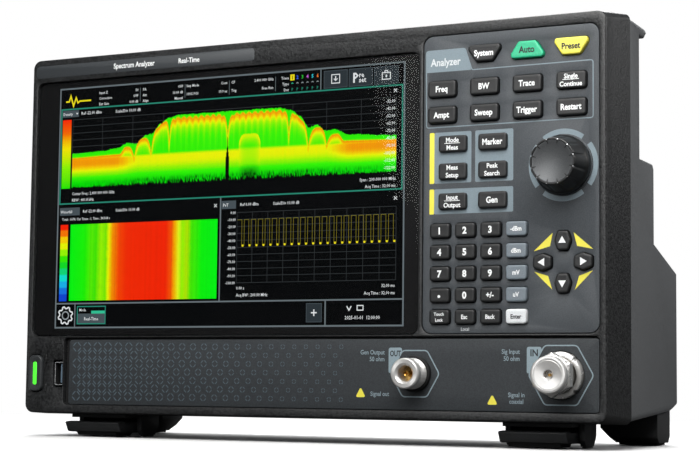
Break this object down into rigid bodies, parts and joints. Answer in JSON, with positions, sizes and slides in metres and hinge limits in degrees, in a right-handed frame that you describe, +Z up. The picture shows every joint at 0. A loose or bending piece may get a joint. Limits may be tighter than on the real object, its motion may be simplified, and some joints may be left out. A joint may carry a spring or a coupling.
{
  "type": "spectrum analyzer",
  "caption": "Benchtop spectrum analyzer with a touch screen, keypad, control knob, two front ports, swing-up handle, fold-out front legs and a stepped back with rear sockets.",
  "frame": {"origin": "on the ground, under the middle of the object's box", "axes": "+Z up, -Y out of the screen side, +X to the right of someone facing the screen"},
  "size_m": [0.358, 0.139, 0.219],
  "materials": {
    "bezel_plastic": "coarse spark-eroded grain",
    "screen_glass": "gloss",
    "lcd_housing": "satin",
    "panel_plastic": "fine satin grain",
    "fascia_plastic": "satin with a printed pattern",
    "silicone_mat": "matt",
    "circuit_board": "solder mask",
    "plated_steel": "nickel plated",
    "knob_plastic": "satin",
    "port_metal": "nickel plated",
    "button_grey": "satin",
    "light_pipe": "diffused, lit",
    "cover_plastic": "fine grain",
    "handle_rubber": "soft touch",
    "foot_plastic": "fine grain",
    "pad_rubber": "matt",
    "chassis_aluminium": "brushed",
    "cable_copper": "bare",
    "fan_plastic": "satin",
    "rear_paint": "satin",
    "inlet_plastic": "gloss",
    "key_black": "satin",
    "key_bluegrey": "satin",
    "key_green": "satin",
    "key_yellow": "satin",
    "key_white": "satin"
  },
  "bodies": {
    "case": {"front_bezel": "bezel_plastic", "touch_glass": "screen_glass", "lcd_module": "lcd_housing", "keypad_panel": "panel_plastic", "keypad_mat": "silicone_mat", "keypad_board": "circuit_board", "encoder_body": "plated_steel", "connector_fascia": "fascia_plastic", "generator_port": "port_metal", "input_port": "port_metal", "front_usb_port": "plated_steel", "rear_cover": "cover_plastic", "case_feet": "foot_plastic", "foot_pads": "pad_rubber", "chassis_frame": "chassis_aluminium", "main_board": "circuit_board", "rf_module": "chassis_aluminium", "rf_cables": "cable_copper", "power_supply": "circuit_board", "fan_frame": "fan_plastic", "rear_panel": "rear_paint", "mains_inlet": "inlet_plastic", "rear_bnc_ports": "port_metal", "rear_data_ports": "plated_steel", "assembly_screws": "plated_steel"},
    "handle": {"carry_handle": "handle_rubber"},
    "leg_left": {"tilt_leg_left": "foot_plastic"},
    "leg_right": {"tilt_leg_right": "foot_plastic"},
    "rocker": {"power_rocker": "inlet_plastic"},
    "fan": {"fan_rotor": "fan_plastic"},
    "knob": {"control_knob": "knob_plastic"},
    "power_key": {"power_button": "button_grey", "power_light_bar": "light_pipe"},
    "key_freq_cap": {"key_freq": "key_black"},
    "key_bandwidth_cap": {"key_bandwidth": "key_black"},
    "key_trace_cap": {"key_trace": "key_black"},
    "key_single_cap": {"key_single": "key_black"},
    "key_amplitude_cap": {"key_amplitude": "key_black"},
    "key_sweep_cap": {"key_sweep": "key_black"},
    "key_trigger_cap": {"key_trigger": "key_black"},
    "key_restart_cap": {"key_restart": "key_black"},
    "key_mode_cap": {"key_mode": "key_black"},
    "key_marker_cap": {"key_marker": "key_black"},
    "key_measure_cap": {"key_measure": "key_black"},
    "key_peak_cap": {"key_peak": "key_black"},
    "key_input_cap": {"key_input": "key_black"},
    "key_generator_cap": {"key_generator": "key_black"},
    "key_system_cap": {"key_system": "key_black"},
    "key_auto_cap": {"key_auto": "key_green"},
    "key_preset_cap": {"key_preset": "key_yellow"},
    "key_arrow_up_cap": {"key_arrow_up": "key_black"},
    "key_arrow_left_cap": {"key_arrow_left": "key_black"},
    "key_arrow_down_cap": {"key_arrow_down": "key_black"},
    "key_arrow_right_cap": {"key_arrow_right": "key_black"},
    "key_lock_cap": {"key_lock": "key_black"},
    "key_escape_cap": {"key_escape": "key_black"},
    "key_back_cap": {"key_back": "key_black"},
    "key_enter_cap": {"key_enter": "key_white"},
    "keys_digits_caps": {"keys_digits": "key_black"},
    "keys_units_caps": {"keys_units": "key_bluegrey"}
  },
  "joints": [
    {"name": "handle_swing", "type": "hinge", "parent": "case", "child": "handle", "pos_m": [0, 0, 0.2155], "axis": [1, 0, 0], "range_deg": [0, 180]},
    {"name": "leg_left_fold", "type": "hinge", "parent": "case", "child": "leg_left", "pos_m": [-0.13255, -0.0185, 0.0062], "axis": [1, 0, 0], "range_deg": [0, 80]},
    {"name": "leg_right_fold", "type": "hinge", "parent": "case", "child": "leg_right", "pos_m": [0.13255, -0.0185, 0.0062], "axis": [1, 0, 0], "range_deg": [0, 80]},
    {"name": "rocker_tip", "type": "hinge", "parent": "case", "child": "rocker", "pos_m": [-0.132, 0.0545, 0.0705], "axis": [-1, 0, 0], "range_deg": [0, 16]},
    {"name": "fan_spin", "type": "hinge", "parent": "case", "child": "fan", "pos_m": [-0.162, 0.0295, 0.06], "axis": [1, 0, 0], "continuous": true},
    {"name": "knob_turn", "type": "hinge", "parent": "case", "child": "knob", "pos_m": [0.1516, -0.0595, 0.1405], "axis": [0, 1, 0], "continuous": true},
    {"name": "power_press", "type": "slide", "parent": "case", "child": "power_key", "axis": [0, 1, 0], "range_m": [0, 0.0011], "stiffness_N_per_m": 500},
    {"name": "key_freq_press", "type": "slide", "parent": "case", "child": "key_freq_cap", "axis": [0, 1, 0], "range_m": [0, 0.0011], "stiffness_N_per_m": 500},
    {"name": "key_bandwidth_press", "type": "slide", "parent": "case", "child": "key_bandwidth_cap", "axis": [0, 1, 0], "range_m": [0, 0.0011], "stiffness_N_per_m": 500},
    {"name": "key_trace_press", "type": "slide", "parent": "case", "child": "key_trace_cap", "axis": [0, 1, 0], "range_m": [0, 0.0011], "stiffness_N_per_m": 500},
    {"name": "key_single_press", "type": "slide", "parent": "case", "child": "key_single_cap", "axis": [0, 1, 0], "range_m": [0, 0.0011], "stiffness_N_per_m": 500},
    {"name": "key_amplitude_press", "type": "slide", "parent": "case", "child": "key_amplitude_cap", "axis": [0, 1, 0], "range_m": [0, 0.0011], "stiffness_N_per_m": 500},
    {"name": "key_sweep_press", "type": "slide", "parent": "case", "child": "key_sweep_cap", "axis": [0, 1, 0], "range_m": [0, 0.0011], "stiffness_N_per_m": 500},
    {"name": "key_trigger_press", "type": "slide", "parent": "case", "child": "key_trigger_cap", "axis": [0, 1, 0], "range_m": [0, 0.0011], "stiffness_N_per_m": 500},
    {"name": "key_restart_press", "type": "slide", "parent": "case", "child": "key_restart_cap", "axis": [0, 1, 0], "range_m": [0, 0.0011], "stiffness_N_per_m": 500},
    {"name": "key_mode_press", "type": "slide", "parent": "case", "child": "key_mode_cap", "axis": [0, 1, 0], "range_m": [0, 0.0011], "stiffness_N_per_m": 500},
    {"name": "key_marker_press", "type": "slide", "parent": "case", "child": "key_marker_cap", "axis": [0, 1, 0], "range_m": [0, 0.0011], "stiffness_N_per_m": 500},
    {"name": "key_measure_press", "type": "slide", "parent": "case", "child": "key_measure_cap", "axis": [0, 1, 0], "range_m": [0, 0.0011], "stiffness_N_per_m": 500},
    {"name": "key_peak_press", "type": "slide", "parent": "case", "child": "key_peak_cap", "axis": [0, 1, 0], "range_m": [0, 0.0011], "stiffness_N_per_m": 500},
    {"name": "key_input_press", "type": "slide", "parent": "case", "child": "key_input_cap", "axis": [0, 1, 0], "range_m": [0, 0.0011], "stiffness_N_per_m": 500},
    {"name": "key_generator_press", "type": "slide", "parent": "case", "child": "key_generator_cap", "axis": [0, 1, 0], "range_m": [0, 0.0011], "stiffness_N_per_m": 500},
    {"name": "key_system_press", "type": "slide", "parent": "case", "child": "key_system_cap", "axis": [0, 1, 0], "range_m": [0, 0.0011], "stiffness_N_per_m": 500},
    {"name": "key_auto_press", "type": "slide", "parent": "case", "child": "key_auto_cap", "axis": [0, 1, 0], "range_m": [0, 0.0011], "stiffness_N_per_m": 500},
    {"name": "key_preset_press", "type": "slide", "parent": "case", "child": "key_preset_cap", "axis": [0, 1, 0], "range_m": [0, 0.0011], "stiffness_N_per_m": 500},
    {"name": "key_arrow_up_press", "type": "slide", "parent": "case", "child": "key_arrow_up_cap", "axis": [0, 1, 0], "range_m": [0, 0.0011], "stiffness_N_per_m": 500},
    {"name": "key_arrow_left_press", "type": "slide", "parent": "case", "child": "key_arrow_left_cap", "axis": [0, 1, 0], "range_m": [0, 0.0011], "stiffness_N_per_m": 500},
    {"name": "key_arrow_down_press", "type": "slide", "parent": "case", "child": "key_arrow_down_cap", "axis": [0, 1, 0], "range_m": [0, 0.0011], "stiffness_N_per_m": 500},
    {"name": "key_arrow_right_press", "type": "slide", "parent": "case", "child": "key_arrow_right_cap", "axis": [0, 1, 0], "range_m": [0, 0.0011], "stiffness_N_per_m": 500},
    {"name": "key_lock_press", "type": "slide", "parent": "case", "child": "key_lock_cap", "axis": [0, 1, 0], "range_m": [0, 0.0011], "stiffness_N_per_m": 500},
    {"name": "key_escape_press", "type": "slide", "parent": "case", "child": "key_escape_cap", "axis": [0, 1, 0], "range_m": [0, 0.0011], "stiffness_N_per_m": 500},
    {"name": "key_back_press", "type": "slide", "parent": "case", "child": "key_back_cap", "axis": [0, 1, 0], "range_m": [0, 0.0011], "stiffness_N_per_m": 500},
    {"name": "key_enter_press", "type": "slide", "parent": "case", "child": "key_enter_cap", "axis": [0, 1, 0], "range_m": [0, 0.0011], "stiffness_N_per_m": 500},
    {"name": "keys_digits_press", "type": "slide", "parent": "case", "child": "keys_digits_caps", "axis": [0, 1, 0], "range_m": [0, 0.0011], "stiffness_N_per_m": 3000},
    {"name": "keys_units_press", "type": "slide", "parent": "case", "child": "keys_units_caps", "axis": [0, 1, 0], "range_m": [0, 0.0011], "stiffness_N_per_m": 1500}
  ]
}
